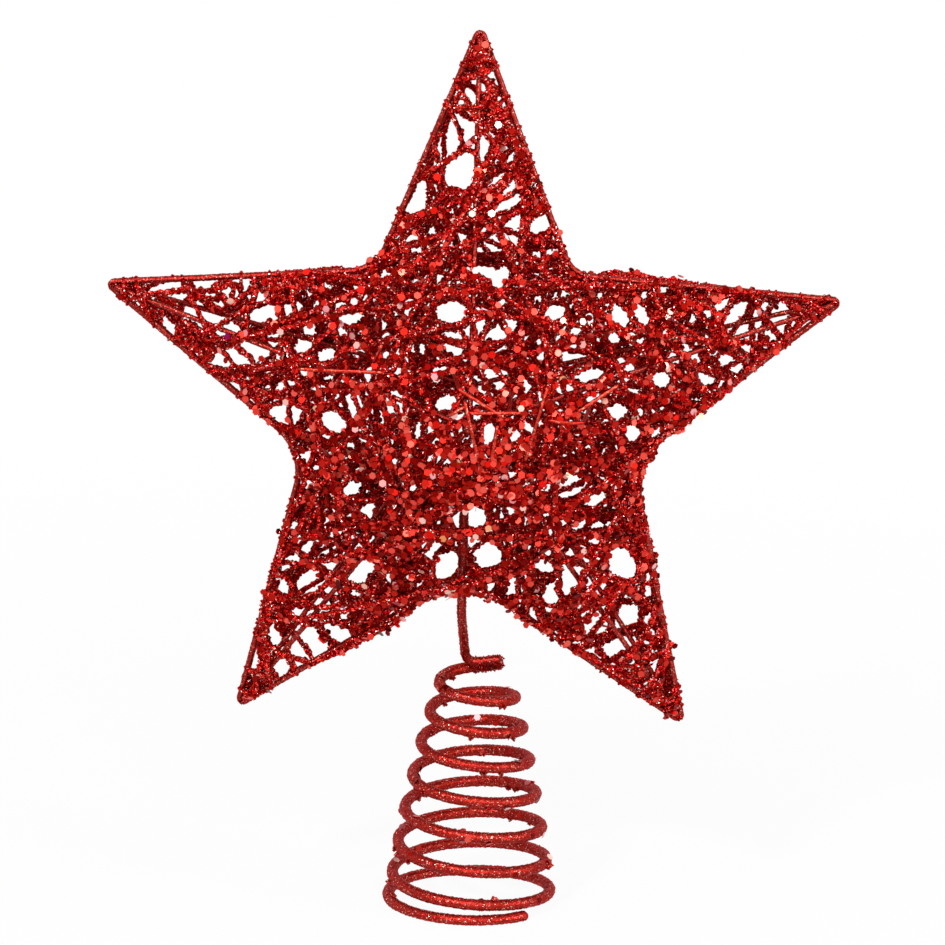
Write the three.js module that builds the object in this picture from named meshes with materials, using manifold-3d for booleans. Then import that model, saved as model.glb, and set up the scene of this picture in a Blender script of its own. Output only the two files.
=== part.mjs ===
// A star for the top of a christmas tree: a puffed wire frame with five arms, wound with glitter twine,
// on a stem that stands on a conical coil spring. The tree's leader goes up inside the spring.
// Millimetres and degrees. +Z is up, -Y is the front, and the origin is on the table under the star.

import * as THREE from "three";
import { mergeVertices } from "three/addons/utils/BufferGeometryUtils.js";
import Module from "manifold-3d";

// Overall sizes
const overallHeight = 254; // table to the outside of the top tip
const starReach = 108; // star centre to the outside of each rounded tip
const hubDepth = 25; // star's middle plane to the axis of the ribs at each hub

// Wire and twine diameters, with their coat of glitter
const outlineWire = 1.9;
const ribWire = 1.9;
const stemWire = 2.7;
const springWire = 3.2;
const twine = 1.2;

// Bends of the star's outline
const armHalfAngle = 22.5; // between an arm's middle and its leg
const tipBend = 2.3;
const notchBend = 18;
const outlineEndGap = 0.4; // between the two ends of the outline wire, in the bottom notch

// Welds
const hubWeld = 4.4; // diameter of the bead that joins five ribs
const weldGap = 0.3; // left between pieces that a weld joins

// Spring, measured at the middle of its wire
const springTopRadius = 9.6;
const springBaseRadius = 23.6;
const springRise = 65.6; // from the closed base turn to the top end
const springTurns = 7.6;
const closedTurns = 0.58; // lie flat on the table
const springFlare = 1.4; // above 1, the lower turns grow less than the upper ones
const springSpread = 0.25; // how much wider the upper turns stand apart
const springSpreadFrom = 1 / 3; // share of the rise from which they do
const springTail = 7.5; // straight top end, where the stem's foot lies
const standingFlat = 0.5; // depth of the flat that the base turn stands on
const springOffset = 3.5; // spring's axis to the right of the star's
const starForward = 1.3; // star's middle plane in front of the spring's axis

// Stem
const stemFootX = 0.7; // where the foot turns up
const stemX = -1; // where the stem passes the bottom notch
const stemFootLift = 40; // angle at which the foot lies over the spring's top end
const stemFootBend = 3.2;
const stemNeckBend = 12;
const stemNeckDrop = 9; // the stem stands upright from here below the notch
const stemInside = 22; // length that goes on up inside the star

// Twine
const twineGap = 0.3; // twine to the wire that it lies on
const strandGap = 0.55; // twine to the strand that it lies on
const knotLength = 2.2; // straight end of a winding, square to the outline wire
const notchStrandStep = 2.8; // spacing of the turns round a notch
const bodyStrands = 19; // from notch to notch, front and rear together
const armTurns = 5; // each way, out and back
const armTurnPitch = 7.6;
const armTurnLean = 1.5 * armTurnPitch; // so that the turns back lie between the turns out
const armFirstTurn = 2.5; // from the end of the notch bend to the first turn

// Facets
const wireSides = 8;
const twineSides = 5;
const springSteps = 16; // in a turn
const bendStep = 18; // most that a bend turns between two rings
const beadSides = 10;
const beadRings = 8;

const armNames = ["top", "right", "lower_right", "lower_left", "left"];
const arms = armNames.length;
const armSpacing = 360 / arms;
const bottomNotch = 2;
const FRONT = -1;
const REAR = 1;
const wrapAngle = 60; // between the three bends where a strand turns round the outline
const hairsbreadth = 1e-6; // so that a crossing right at a bend counts, and no two bends coincide
const measureStep = 0.5; // between the points at which gaps are measured
const measureApart = 4; // diameters along a wire, within which it isn't measured against itself
const nearlyAlong = 0.9; // cosine above which a wire counts as lying along an axis
const settleStep = 0.1; // by which a strand is raised until it clears
const settleRounds = 60;

const degrees = THREE.MathUtils.degToRad;
const at = (x, y, z) => new THREE.Vector3(x, y, z);

// Star outline, in its own plane with the star's centre at the origin
function spoke(angle, radius) {
  return at(Math.cos(degrees(angle)), 0, Math.sin(degrees(angle))).multiplyScalar(radius);
}
const armAngle = (k) => 90 - armSpacing * k;
const notchAngle = (k) => armAngle(k) - armSpacing / 2;
const tipReach = starReach - outlineWire / 2;
const apexReach = tipReach + tipBend * (1 / Math.sin(degrees(armHalfAngle)) - 1);
const notchReach =
  (apexReach * Math.sin(degrees(armHalfAngle))) / Math.sin(degrees(armHalfAngle + armSpacing / 2));
const notchHalfTurn = 90 - armHalfAngle - armSpacing / 2; // half of the angle that the wire turns there
const notchCentreReach = notchReach + notchBend / Math.cos(degrees(notchHalfTurn));
const notchInnerReach = notchCentreReach - notchBend;
const starCentreZ = overallHeight - starReach;
const notchZ = starCentreZ - notchInnerReach;

// A path through corners, each rounded by an arc of its own radius. A closed path has no ends.
function roundedPath(corners, radii, closed) {
  const path = [];
  corners.forEach((corner, i) => {
    const isEnd = !closed && (i === 0 || i === corners.length - 1);
    if (isEnd) {
      path.push(corner.clone());
      return;
    }
    const before = corners[(i + corners.length - 1) % corners.length].clone().sub(corner).normalize();
    const after = corners[(i + 1) % corners.length].clone().sub(corner).normalize();
    const half = before.angleTo(after) / 2;
    const middle = before.clone().add(after).normalize();
    const centre = corner.clone().addScaledVector(middle, radii[i] / Math.sin(half));
    const first = corner.clone().addScaledVector(before, radii[i] / Math.tan(half)).sub(centre);
    const turn = Math.PI - 2 * half;
    const axis = before.clone().cross(after).normalize().negate();
    const steps = 2 * Math.ceil(turn / degrees(2 * bendStep));
    for (let s = 0; s <= steps; s++) {
      path.push(first.clone().applyAxisAngle(axis, (turn * s) / steps).add(centre));
    }
  });
  return path;
}

// A wire along a path: mitred at each point, with flat ends.
function wireGeometry(path, diameter, sides) {
  const directions = path.slice(1).map((p, i) => p.clone().sub(path[i]).normalize());
  const side = Math.abs(directions[0].y) < nearlyAlong ? at(0, 1, 0) : at(1, 0, 0);
  side.addScaledVector(directions[0], -side.dot(directions[0])).normalize();
  const positions = [];
  path.forEach((point, i) => {
    const into = directions[Math.max(i - 1, 0)];
    const out = directions[Math.min(i, directions.length - 1)];
    const mitre = into.clone().add(out).normalize();
    const across = into.clone().cross(side);
    for (let j = 0; j < sides; j++) {
      const angle = (2 * Math.PI * (j + 0.5)) / sides;
      const offset = side.clone().multiplyScalar((diameter / 2) * Math.cos(angle));
      offset.addScaledVector(across, (diameter / 2) * Math.sin(angle));
      offset.addScaledVector(into, -offset.dot(mitre) / into.dot(mitre));
      positions.push(point.x + offset.x, point.y + offset.y, point.z + offset.z);
    }
    side.applyQuaternion(new THREE.Quaternion().setFromUnitVectors(into, out));
  });
  const index = [];
  for (let i = 0; i < path.length - 1; i++) {
    for (let j = 0; j < sides; j++) {
      const a = i * sides + j;
      const b = i * sides + ((j + 1) % sides);
      index.push(a, b, b + sides, a, b + sides, a + sides);
    }
  }
  const last = (path.length - 1) * sides;
  for (let j = 1; j < sides - 1; j++) {
    index.push(0, j + 1, j, last, last + j, last + j + 1);
  }
  const geometry = new THREE.BufferGeometry();
  geometry.setAttribute("position", new THREE.Float32BufferAttribute(positions, 3));
  geometry.setIndex(index);
  return geometry;
}

// The least gap that a wound wire keeps to itself, measured between points along its middle.
function leastGapToItself(path, diameter) {
  const points = [];
  let along = 0;
  for (let i = 0; i < path.length - 1; i++) {
    const length = path[i].distanceTo(path[i + 1]);
    const count = Math.ceil(length / measureStep);
    for (let s = 0; s < count; s++) {
      const place = path[i].clone().lerp(path[i + 1], s / count);
      points.push({ place, along: along + (length * s) / count });
    }
    along += length;
  }
  const apart = measureApart * diameter;
  let least = Infinity;
  for (let i = 0; i < points.length; i++) {
    for (let j = points.length - 1; points[j].along - points[i].along > apart; j--) {
      least = Math.min(least, points[i].place.distanceToSquared(points[j].place));
    }
  }
  return Math.sqrt(least) - diameter;
}

// Finishes
function finish(color, roughness, metalness) {
  return new THREE.MeshStandardMaterial({ color, roughness, metalness });
}
const glitterWire = finish(0xa01812, 0.45, 0.6);
const springCoat = finish(0xad1a13, 0.35, 0.6);
const glitterTwine = finish(0xb81f17, 0.55, 0.4);

const topper = new THREE.Group();
const star = new THREE.Group();
star.position.set(0, -starForward, starCentreZ);
topper.add(star);

function addPiece(group, name, geometry, material) {
  const mesh = new THREE.Mesh(geometry, material);
  mesh.name = name;
  group.add(mesh);
}

// Outline: one wire bent round all five arms, with its ends in the bottom notch
function outlinePath() {
  const corners = [];
  const radii = [];
  for (let k = 0; k < arms; k++) {
    corners.push(spoke(armAngle(k), apexReach), spoke(notchAngle(k), notchReach));
    radii.push(tipBend, notchBend);
  }
  const loop = roundedPath(corners, radii, true);
  const middle = spoke(notchAngle(bottomNotch), notchInnerReach);
  const nearer = (best, p, i) => (p.distanceTo(middle) < loop[best].distanceTo(middle) ? i : best);
  const start = loop.reduce(nearer, 0);
  const path = [...loop.slice(start), ...loop.slice(0, start), loop[start]].map((p) => p.clone());
  const shorten = (end, next) => end.lerp(next, outlineEndGap / 2 / end.distanceTo(next));
  shorten(path[0], path[1]);
  shorten(path[path.length - 1], path[path.length - 2]);
  return path;
}
addPiece(star, "star_outline_wire", wireGeometry(outlinePath(), outlineWire, wireSides), glitterWire);

// Ribs: straight wires from each hub weld to the face of the outline at the tips
const ribSeat = (outlineWire + ribWire) / 2 + weldGap;
const hubPoint = (face) => at(0, face * hubDepth, 0);
const ribTip = (k, face) => spoke(armAngle(k), tipReach - outlineWire / 2).setY(face * ribSeat);
for (const [face, word] of [
  [FRONT, "front"],
  [REAR, "rear"],
]) {
  armNames.forEach((arm, k) => {
    const tip = ribTip(k, face);
    const inner = hubPoint(face);
    inner.lerp(tip, (hubWeld / 2 + weldGap) / inner.distanceTo(tip));
    addPiece(star, `${word}_rib_${arm}`, wireGeometry([inner, tip], ribWire, wireSides), glitterWire);
  });
  const bead = new THREE.SphereGeometry(hubWeld / 2, beadSides, beadRings);
  bead.deleteAttribute("normal");
  bead.deleteAttribute("uv");
  bead.rotateX(Math.PI / 2);
  bead.translate(0, face * hubDepth, 0);
  addPiece(star, `${word}_hub_weld`, mergeVertices(bead), glitterWire);
}

// Spring: one wire wound down from the back, flat over its last part turn
const freeTurns = springTurns - closedTurns;
const springBaseZ = springWire / 2 - standingFlat;
function springPoint(turn) {
  const left = 1 - turn / springTurns;
  const share = Math.pow(Math.max(left, 0), springFlare);
  const radius = THREE.MathUtils.lerp(springBaseRadius, springTopRadius, share);
  const v = Math.max(1 - turn / freeTurns, 0);
  const rise = v + springSpread * v * (1 - v) * (v - springSpreadFrom);
  const angle = Math.PI / 2 + 2 * Math.PI * turn;
  const height = springBaseZ + springRise * rise;
  return at(springOffset + radius * Math.cos(angle), radius * Math.sin(angle), height);
}
const springEnd = springPoint(0);
const tailDirection = springEnd.clone().sub(springPoint(1 / springSteps));
tailDirection.setY(0).normalize();
const tailEnd = springEnd.clone().addScaledVector(tailDirection, springTail);
function springPath() {
  const path = [tailEnd];
  const steps = Math.round(springTurns * springSteps);
  for (let i = 0; i <= steps; i++) {
    path.push(springPoint((i * springTurns) / steps));
  }
  const end = path[path.length - 1];
  const run = end.clone().sub(path[path.length - 2]).setLength(springWire);
  path.push(end.clone().add(run));
  return path;
}

const wasm = await Module();
wasm.setup();
function solidOf(geometry) {
  const vertProperties = new Float32Array(geometry.getAttribute("position").array);
  const triVerts = new Uint32Array(geometry.index.array);
  return new wasm.Manifold(new wasm.Mesh({ numProp: 3, vertProperties, triVerts }));
}
function geometryOf(solid) {
  const mesh = solid.getMesh();
  const geometry = new THREE.BufferGeometry();
  geometry.setAttribute("position", new THREE.Float32BufferAttribute(mesh.vertProperties, 3));
  geometry.setIndex(new THREE.BufferAttribute(mesh.triVerts, 1));
  return geometry;
}
function boxBelowTable() {
  const side = 4 * springBaseRadius;
  const box = new THREE.BoxGeometry(side, side, springWire);
  box.translate(0, 0, -springWire / 2);
  box.deleteAttribute("normal");
  box.deleteAttribute("uv");
  return mergeVertices(box);
}
const springRun = springPath();
const springTube = solidOf(wireGeometry(springRun, springWire, wireSides));
const springSolid = springTube.subtract(solidOf(boxBelowTable()));
addPiece(topper, "cone_spring", geometryOf(springSolid), springCoat);
console.log(`cone_spring keeps ${leastGapToItself(springRun, springWire).toFixed(2)} mm to itself`);

// Stem: one wire, its foot along the spring's top end and its upper end behind the outline in the notch
function stemPath() {
  const distance = (springWire + stemWire) / 2 + weldGap;
  const lift = degrees(stemFootLift);
  const beside = at(0, -distance * Math.cos(lift), distance * Math.sin(lift));
  const footEnd = tailEnd.clone().add(beside);
  const back = (stemFootX - footEnd.x) / tailDirection.x;
  const heel = footEnd.clone().addScaledVector(tailDirection, back);
  const behind = (outlineWire + stemWire) / 2 + weldGap - starForward;
  const neck = at(stemX, behind, notchZ - stemNeckDrop);
  const top = at(stemX, behind, notchZ + stemInside);
  return roundedPath([footEnd, heel, neck, top], [0, stemFootBend, stemNeckBend, 0], false);
}
addPiece(topper, "stem_wire", wireGeometry(stemPath(), stemWire, wireSides), glitterWire);

// Twine: each strand runs straight between two places on the outline, over the ribs and over the strands
// that were laid before it, and turns round the outline to the other face
const wrapRadius = (outlineWire / 2 + twineGap + twine / 2) / Math.cos(degrees(wrapAngle / 2));
const overRib = (ribWire + twine) / 2 + twineGap;
const overStrand = twine + strandGap;
const laid = { [FRONT]: [], [REAR]: [] };
for (const face of [FRONT, REAR]) {
  for (let k = 0; k < arms; k++) {
    laid[face].push({ from: hubPoint(face), to: ribTip(k, face), apart: overRib });
  }
}

// Where two lines cross, seen from the front: the share along each, or null.
function crossing(a, b, c, d) {
  const bx = b.x - a.x;
  const bz = b.z - a.z;
  const dx = d.x - c.x;
  const dz = d.z - c.z;
  const cross = bx * dz - bz * dx;
  const first = ((c.x - a.x) * dz - (c.z - a.z) * dx) / cross;
  const second = ((c.x - a.x) * bz - (c.z - a.z) * bx) / cross;
  const inside = (share) => share > -hairsbreadth && share < 1 + hairsbreadth;
  return inside(first) && inside(second) ? { first, second } : null;
}

// The bends of a taut strand that is held off the middle plane at some shares of its length.
function tautBends(from, to, face, heights) {
  const taut = [];
  for (const next of heights) {
    while (taut.length > 1) {
      const middle = taut[taut.length - 1];
      const before = taut[taut.length - 2];
      const line = (next.height - before.height) / (next.share - before.share);
      const straight = before.height + line * (middle.share - before.share);
      if (middle.height > straight + hairsbreadth) break;
      taut.pop();
    }
    taut.push(next);
  }
  return taut.map(({ share, height }) => from.clone().lerp(to, share).setY(face * height));
}

// The least distance between the middles of a bent strand and a straight one.
function leastDistance(bends, under) {
  const line = new THREE.Line3(under.from, under.to);
  const nearest = at(0, 0, 0);
  let least = Infinity;
  for (let i = 0; i < bends.length - 1; i++) {
    const count = Math.ceil(bends[i].distanceTo(bends[i + 1]) / measureStep);
    for (let s = 0; s <= count; s++) {
      const point = bends[i].clone().lerp(bends[i + 1], s / count);
      least = Math.min(least, point.distanceTo(line.closestPointToPoint(point, true, nearest)));
    }
  }
  return least;
}

// Lays a strand over all that it crosses, raising it until it clears each piece.
function layStrand(from, to, face) {
  const crossings = [];
  for (const under of laid[face]) {
    const hit = crossing(from, to, under.from, under.to);
    if (!hit) continue;
    const height = Math.abs(THREE.MathUtils.lerp(under.from.y, under.to.y, hit.second)) + under.apart;
    crossings.push({ share: hit.first, height, under });
  }
  const ends = [
    { share: -hairsbreadth, height: Math.abs(from.y) },
    { share: 1 + hairsbreadth, height: Math.abs(to.y) },
  ];
  let bends;
  for (let round = 0; round < settleRounds; round++) {
    const heights = [...ends, ...crossings].sort((p, q) => p.share - q.share);
    bends = tautBends(from, to, face, heights);
    const tight = crossings.filter((c) => leastDistance(bends, c.under) < c.under.apart);
    if (!tight.length) break;
    for (const c of tight) c.height += settleStep;
  }
  bends.slice(1).forEach((point, i) => laid[face].push({ from: bends[i], to: point, apart: overStrand }));
  return bends;
}

// A winding through a list of places on the outline, each with the direction that points out of the star.
function windingPath(places, firstFace) {
  const wrap = ({ place, outward }, turn) => {
    const around = outward.clone().multiplyScalar(wrapRadius * Math.cos(degrees(turn)));
    return place.clone().add(around).setY(wrapRadius * Math.sin(degrees(turn)));
  };
  const knotFoot = outlineWire / 2 + twineGap;
  const path = [places[0].place.clone().setY(firstFace * knotFoot)];
  let face = firstFace;
  for (let i = 0; i < places.length - 1; i++) {
    const isFirst = i === 0;
    const isLast = i === places.length - 2;
    const knot = (end) => end.place.clone().setY(face * (knotFoot + knotLength));
    const from = isFirst ? knot(places[i]) : wrap(places[i], face * wrapAngle);
    const to = isLast ? knot(places[i + 1]) : wrap(places[i + 1], face * wrapAngle);
    path.push(...layStrand(from, to, face));
    if (isLast) path.push(places[i + 1].place.clone().setY(face * knotFoot));
    else path.push(wrap(places[i + 1], 0));
    face = -face;
  }
  return path;
}

function addWinding(name, places, firstFace) {
  const path = windingPath(places, firstFace);
  addPiece(star, name, wireGeometry(path, twine, twineSides), glitterTwine);
  console.log(`${name} keeps ${leastGapToItself(path, twine).toFixed(2)} mm to itself`);
}

// A place on an arm's leg, at a distance from the star's centre along the arm. Side -1 is the clockwise leg.
function legPlace(k, side, distance) {
  const out = spoke(armAngle(k), 1);
  const across = spoke(armAngle(k) + 90 * side, 1);
  const halfWidth = (apexReach - distance) * Math.tan(degrees(armHalfAngle));
  return {
    place: out.clone().multiplyScalar(distance).addScaledVector(across, halfWidth),
    outward: spoke(armAngle(k) + side * (90 - armHalfAngle), 1),
  };
}

// A place on the bend of a notch, at a length along the wire from the bend's middle.
function notchPlace(k, along) {
  const turn = THREE.MathUtils.radToDeg(along / notchBend);
  const inward = spoke(notchAngle(k) + 180 + turn, 1);
  const centre = spoke(notchAngle(k), notchCentreReach);
  return { place: centre.addScaledVector(inward, notchBend), outward: inward.negate() };
}

// Arm windings: out towards the tip in one layer and back over it in a second one
const notchTangent = notchReach * Math.cos(degrees(armSpacing / 2)) +
  notchBend * Math.tan(degrees(notchHalfTurn)) * Math.cos(degrees(armHalfAngle));
armNames.forEach((arm, k) => {
  const places = [];
  const first = notchTangent + armFirstTurn;
  for (let i = 0; i < armTurns; i++) {
    places.push(legPlace(k, 1, first + armTurnPitch * i));
    places.push(legPlace(k, -1, first + armTurnPitch * i + armTurnLean));
  }
  for (let i = armTurns - 1; i >= 0; i--) {
    places.push(legPlace(k, 1, first + armTurnPitch * i + armTurnLean));
    places.push(legPlace(k, -1, first + armTurnPitch * i));
  }
  addWinding(`twine_winding_${arm}`, places, FRONT);
});

// Body winding: from each notch to the next but one, on the two faces by turns. The strands that go round a
// notch lie side by side, and in the bottom notch they leave room for the stem.
function bodyPlaces() {
  const places = [];
  for (let i = 0; i <= bodyStrands; i++) {
    const notch = (bottomNotch + 2 * i) % arms;
    const side = i % 2 ? -1 : 1;
    const outward = Math.floor(i / (2 * arms)) + 0.5;
    const along = side * outward * notchStrandStep;
    places.push(notchPlace(notch, notch === bottomNotch ? along - stemX + (side * stemWire) / 2 : along));
  }
  return places;
}
addWinding("twine_winding_body", bodyPlaces(), FRONT);

export default topper;
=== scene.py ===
import math

import bpy
import numpy as np
from mathutils import Matrix, Vector
from mathutils.kdtree import KDTree


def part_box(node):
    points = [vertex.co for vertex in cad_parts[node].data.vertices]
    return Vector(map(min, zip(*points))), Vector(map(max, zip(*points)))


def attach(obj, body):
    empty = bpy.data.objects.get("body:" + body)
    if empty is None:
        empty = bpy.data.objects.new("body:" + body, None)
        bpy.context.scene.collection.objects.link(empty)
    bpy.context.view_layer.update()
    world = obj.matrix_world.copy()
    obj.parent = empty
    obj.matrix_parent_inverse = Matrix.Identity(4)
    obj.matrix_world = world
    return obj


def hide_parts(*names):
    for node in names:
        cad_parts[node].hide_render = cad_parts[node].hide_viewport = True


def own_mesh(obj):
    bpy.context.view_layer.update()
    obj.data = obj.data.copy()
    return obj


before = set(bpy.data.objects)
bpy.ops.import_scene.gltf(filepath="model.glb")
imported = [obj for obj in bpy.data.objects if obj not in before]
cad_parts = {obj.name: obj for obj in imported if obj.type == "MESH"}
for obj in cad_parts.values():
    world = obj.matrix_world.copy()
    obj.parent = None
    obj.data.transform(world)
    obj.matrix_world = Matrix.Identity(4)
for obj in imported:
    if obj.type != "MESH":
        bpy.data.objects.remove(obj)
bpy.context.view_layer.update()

# Camera
# The photograph is taken from straight in front and a little above, with a long lens, and the topper stands
# turned a little clockwise in it.
camera_distance = 2.0
camera_elevation = math.radians(14.34)
camera_roll = math.radians(1.52)
camera_target = Vector((0.0011, 0, 0.12638))
picture_side = 945
focal_pixels = 7075

camera_data = bpy.data.cameras.new("camera")
camera_data.sensor_width = 36
camera_data.lens = camera_data.sensor_width * focal_pixels / picture_side
camera = bpy.data.objects.new("camera", camera_data)
bpy.context.scene.collection.objects.link(camera)
towards = Vector((0, math.cos(camera_elevation), -math.sin(camera_elevation)))
facing = towards.to_track_quat("-Z", "Y").to_matrix()
camera.rotation_euler = (facing @ Matrix.Rotation(camera_roll, 3, "Z")).to_euler()
camera.location = camera_target - camera_distance * towards
bpy.context.scene.camera = camera

# Coil spring
# One steel wire wound into a cone, from a straight end at the top to a closed turn that stands on the table.
# It is dipped in a red coat with fine glitter in it, which leaves a grainy skin and a few lumps.
spring_wire = 0.0032
spring_top_radius = 0.0096
spring_base_radius = 0.0236
spring_rise = 0.0656
spring_turns = 7.6
closed_turns = 0.58
spring_flare = 1.4
spring_spread = 0.25
spring_spread_from = 1 / 3
spring_tail = 0.0075
spring_offset = 0.0035
standing_flat = 0.0005
coat_grain = 0.05
grain_step = 0.0004
spring_sides = 18
spring_crumbs = 2600
crumb_sizes = (0.00012, 0.00026)
crumb_sink = 0.00004
spring_drips = 26
drip_crumbs = 16
drip_crumb_sizes = (0.0004, 0.0007)
drip_spread = 0.00032
drip_facing = -0.35
drip_lowest = 0.004
crumb_lowest = 0.0009

# Drips that the photograph shows, by turns down from the spring's top and degrees up from straight out.
seen_drips = [
    (1.13, 230), (2.18, 180), (2.53, -60), (2.37, -50), (4.17, 210), (3.36, -30), (3.9, 239), (5.35, -50),
    (7.3, 110), (6.55, 90), (0.12, 250), (0.34, 10), (2.58, -80), (1.49, -59), (2.97, 200), (3.88, 250)]

spring_base_z = spring_wire / 2 - standing_flat


def spring_point(turn):
    left = max(1 - turn / spring_turns, 0)
    radius = spring_base_radius + (spring_top_radius - spring_base_radius) * left ** spring_flare
    v = max(1 - turn / (spring_turns - closed_turns), 0)
    rise = v + spring_spread * v * (1 - v) * (v - spring_spread_from)
    angle = math.pi / 2 + 2 * math.pi * turn
    height = spring_base_z + spring_rise * rise
    return np.array([spring_offset + radius * math.cos(angle), radius * math.sin(angle), height])


def evenly(line, step):
    """Points at an even step along a line, its ends included."""
    lengths = np.linalg.norm(np.diff(line, axis=0), axis=1)
    along = np.concatenate([[0], np.cumsum(lengths)])
    places = np.linspace(0, along[-1], max(2, round(along[-1] / step) + 1))
    return np.column_stack([np.interp(places, along, line[:, i]) for i in range(3)])


def unit(vectors):
    return vectors / np.maximum(np.linalg.norm(vectors, axis=-1, keepdims=True), 1e-12)


def sides_of(line):
    """For each point of a line, two directions square to it that turn as little as they can."""
    along = unit(np.gradient(line, axis=0))
    first = np.array([0.0, 1.0, 0.0]) if abs(along[0][1]) < 0.9 else np.array([1.0, 0.0, 0.0])
    side = np.empty_like(line)
    for i, direction in enumerate(along):
        first = first - direction * first.dot(direction)
        first = first / math.sqrt(first.dot(first))
        side[i] = first
    return side, np.cross(along, side)


def wire(line, radius, sides, grain, draw, round_ends=True):
    """The points and faces of a closed wire along a line. Its skin has grains of glitter in it."""
    blunt = 0.92
    side, across = sides_of(line)
    radii = np.broadcast_to(radius, len(line)).copy()
    if round_ends:
        ends = np.minimum(np.arange(len(line)), np.arange(len(line))[::-1])
        step = np.linalg.norm(line[1] - line[0])
        depth = np.clip(1 - ends * step / radii, 0, blunt)
        radii = radii * np.sqrt(1 - depth**2)
    turn = 2 * np.pi * (np.arange(sides) + 0.5) / sides
    skin = radii[:, None] * (1 + grain * np.clip(draw.standard_normal((len(line), sides)), -2, 2))
    ring = np.cos(turn)[None, :, None] * side[:, None, :] + np.sin(turn)[None, :, None] * across[:, None, :]
    points = (line[:, None, :] + skin[:, :, None] * ring).reshape(-1, 3)
    start = (np.arange(len(line) - 1) * sides)[:, None]
    here = np.arange(sides)[None, :]
    after = (here + 1) % sides
    faces = np.stack([start + here, start + after, start + sides + after, start + sides + here], axis=-1)
    last = (len(line) - 1) * sides
    faces = faces.reshape(-1, 4).tolist()
    faces.append(list(range(sides))[::-1])
    faces.append([last + i for i in range(sides)])
    return points, faces


def piece(name, parts, material, smooth):
    """One object out of closed bodies, each given as its points and faces."""
    points = []
    faces = []
    count = 0
    for body_points, body_faces in parts:
        points.append(body_points)
        faces.extend([[count + i for i in face] for face in body_faces])
        count += len(body_points)
    mesh = bpy.data.meshes.new(name)
    mesh.from_pydata(np.concatenate(points).tolist(), [], faces)
    mesh.polygons.foreach_set("use_smooth", [smooth] * len(mesh.polygons))
    mesh.materials.append(material)
    made = bpy.data.objects.new(name, mesh)
    bpy.context.scene.collection.objects.link(made)
    return made


def on_wire(line, radius, count, draw):
    """Random places on a wire's skin, and the way out of the wire at each."""
    side, across = sides_of(line)
    at = draw.integers(2, len(line) - 2, count)
    turn = draw.uniform(0, 2 * np.pi, count)[:, None]
    out = np.cos(turn) * side[at] + np.sin(turn) * across[at]
    return line[at] + radius * out, out


def crumbs(centres, sizes, draw):
    """Crooked eight-sided grains of glitter."""
    corners = np.array([[1, 0, 0], [-1, 0, 0], [0, 1, 0], [0, -1, 0], [0, 0, 1], [0, 0, -1]])
    sides = np.array([[0, 2, 4], [2, 1, 4], [1, 3, 4], [3, 0, 4], [2, 0, 5], [1, 2, 5], [3, 1, 5], [0, 3, 5]])
    reach = draw.uniform(0.6, 1.3, (len(centres), 6, 1))
    crook = draw.uniform(-0.3, 0.3, (len(centres), 6, 3))
    points = centres[:, None, :] + sizes[:, None, None] * (corners * reach + crook)
    faces = sides[None, :, :] + 6 * np.arange(len(centres))[:, None, None]
    return points.reshape(-1, 3), faces.reshape(-1, 3).tolist()


def tone_ramp(nodes, tones):
    """A colour ramp through tones, each with its place from 0 to 1."""
    tone = nodes.new("ShaderNodeValToRGB")
    ends = tone.color_ramp.elements
    for end, (place, colour) in zip(ends, (tones[0], tones[-1])):
        end.position = place
        end.color = (*colour, 1)
    for place, colour in tones[1:-1]:
        ends.new(place).color = (*colour, 1)
    return tone


def glitter_finish(name, tones, flake, tilt, roughness, coat, metal=1.0):
    """A coat of fine glitter: each flake is a cell with a tone and a slope of its own."""
    material = bpy.data.materials.new(name)
    material.use_nodes = True
    nodes = material.node_tree.nodes
    link = material.node_tree.links.new
    surface = nodes["Principled BSDF"]
    surface.inputs["Metallic"].default_value = metal
    surface.inputs["Roughness"].default_value = roughness
    surface.inputs["Specular Tint"].default_value = (0.85, 0.20, 0.15, 1)
    surface.inputs["Coat Weight"].default_value = coat
    surface.inputs["Coat Roughness"].default_value = 0.2
    place = nodes.new("ShaderNodeTexCoord")
    flakes = nodes.new("ShaderNodeTexVoronoi")
    flakes.inputs["Scale"].default_value = 1 / flake
    link(place.outputs["Object"], flakes.inputs["Vector"])
    parts = nodes.new("ShaderNodeSeparateColor")
    link(flakes.outputs["Color"], parts.inputs["Color"])
    tone = tone_ramp(nodes, tones)
    link(parts.outputs["Red"], tone.inputs["Fac"])
    link(tone.outputs["Color"], surface.inputs["Base Color"])
    middle = nodes.new("ShaderNodeVectorMath")
    middle.operation = "SUBTRACT"
    middle.inputs[1].default_value = (0.5, 0.5, 0.5)
    link(flakes.outputs["Color"], middle.inputs[0])
    lean = nodes.new("ShaderNodeVectorMath")
    lean.operation = "SCALE"
    lean.inputs["Scale"].default_value = tilt
    link(middle.outputs["Vector"], lean.inputs[0])
    skin = nodes.new("ShaderNodeNewGeometry")
    both = nodes.new("ShaderNodeVectorMath")
    both.operation = "ADD"
    link(skin.outputs["Normal"], both.inputs[0])
    link(lean.outputs["Vector"], both.inputs[1])
    slope = nodes.new("ShaderNodeVectorMath")
    slope.operation = "NORMALIZE"
    link(both.outputs["Vector"], slope.inputs[0])
    link(slope.outputs["Vector"], surface.inputs["Normal"])
    return material


# The coat's flakes take red tones at random. The tones past 0.95, pink to near white, are painted glints:
# flakes painted as if they catch a lamp.
spring_coat = glitter_finish("spring_coat", [
    (0.0, (0.13, 0.003, 0.002)), (0.5, (0.35, 0.014, 0.008)), (0.95, (0.48, 0.026, 0.016)),
    (0.97, (0.84, 0.24, 0.19)), (1.0, (0.95, 0.74, 0.66))],
    flake=0.00022, tilt=0.40, roughness=0.34, coat=0.07, metal=0.8)

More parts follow.
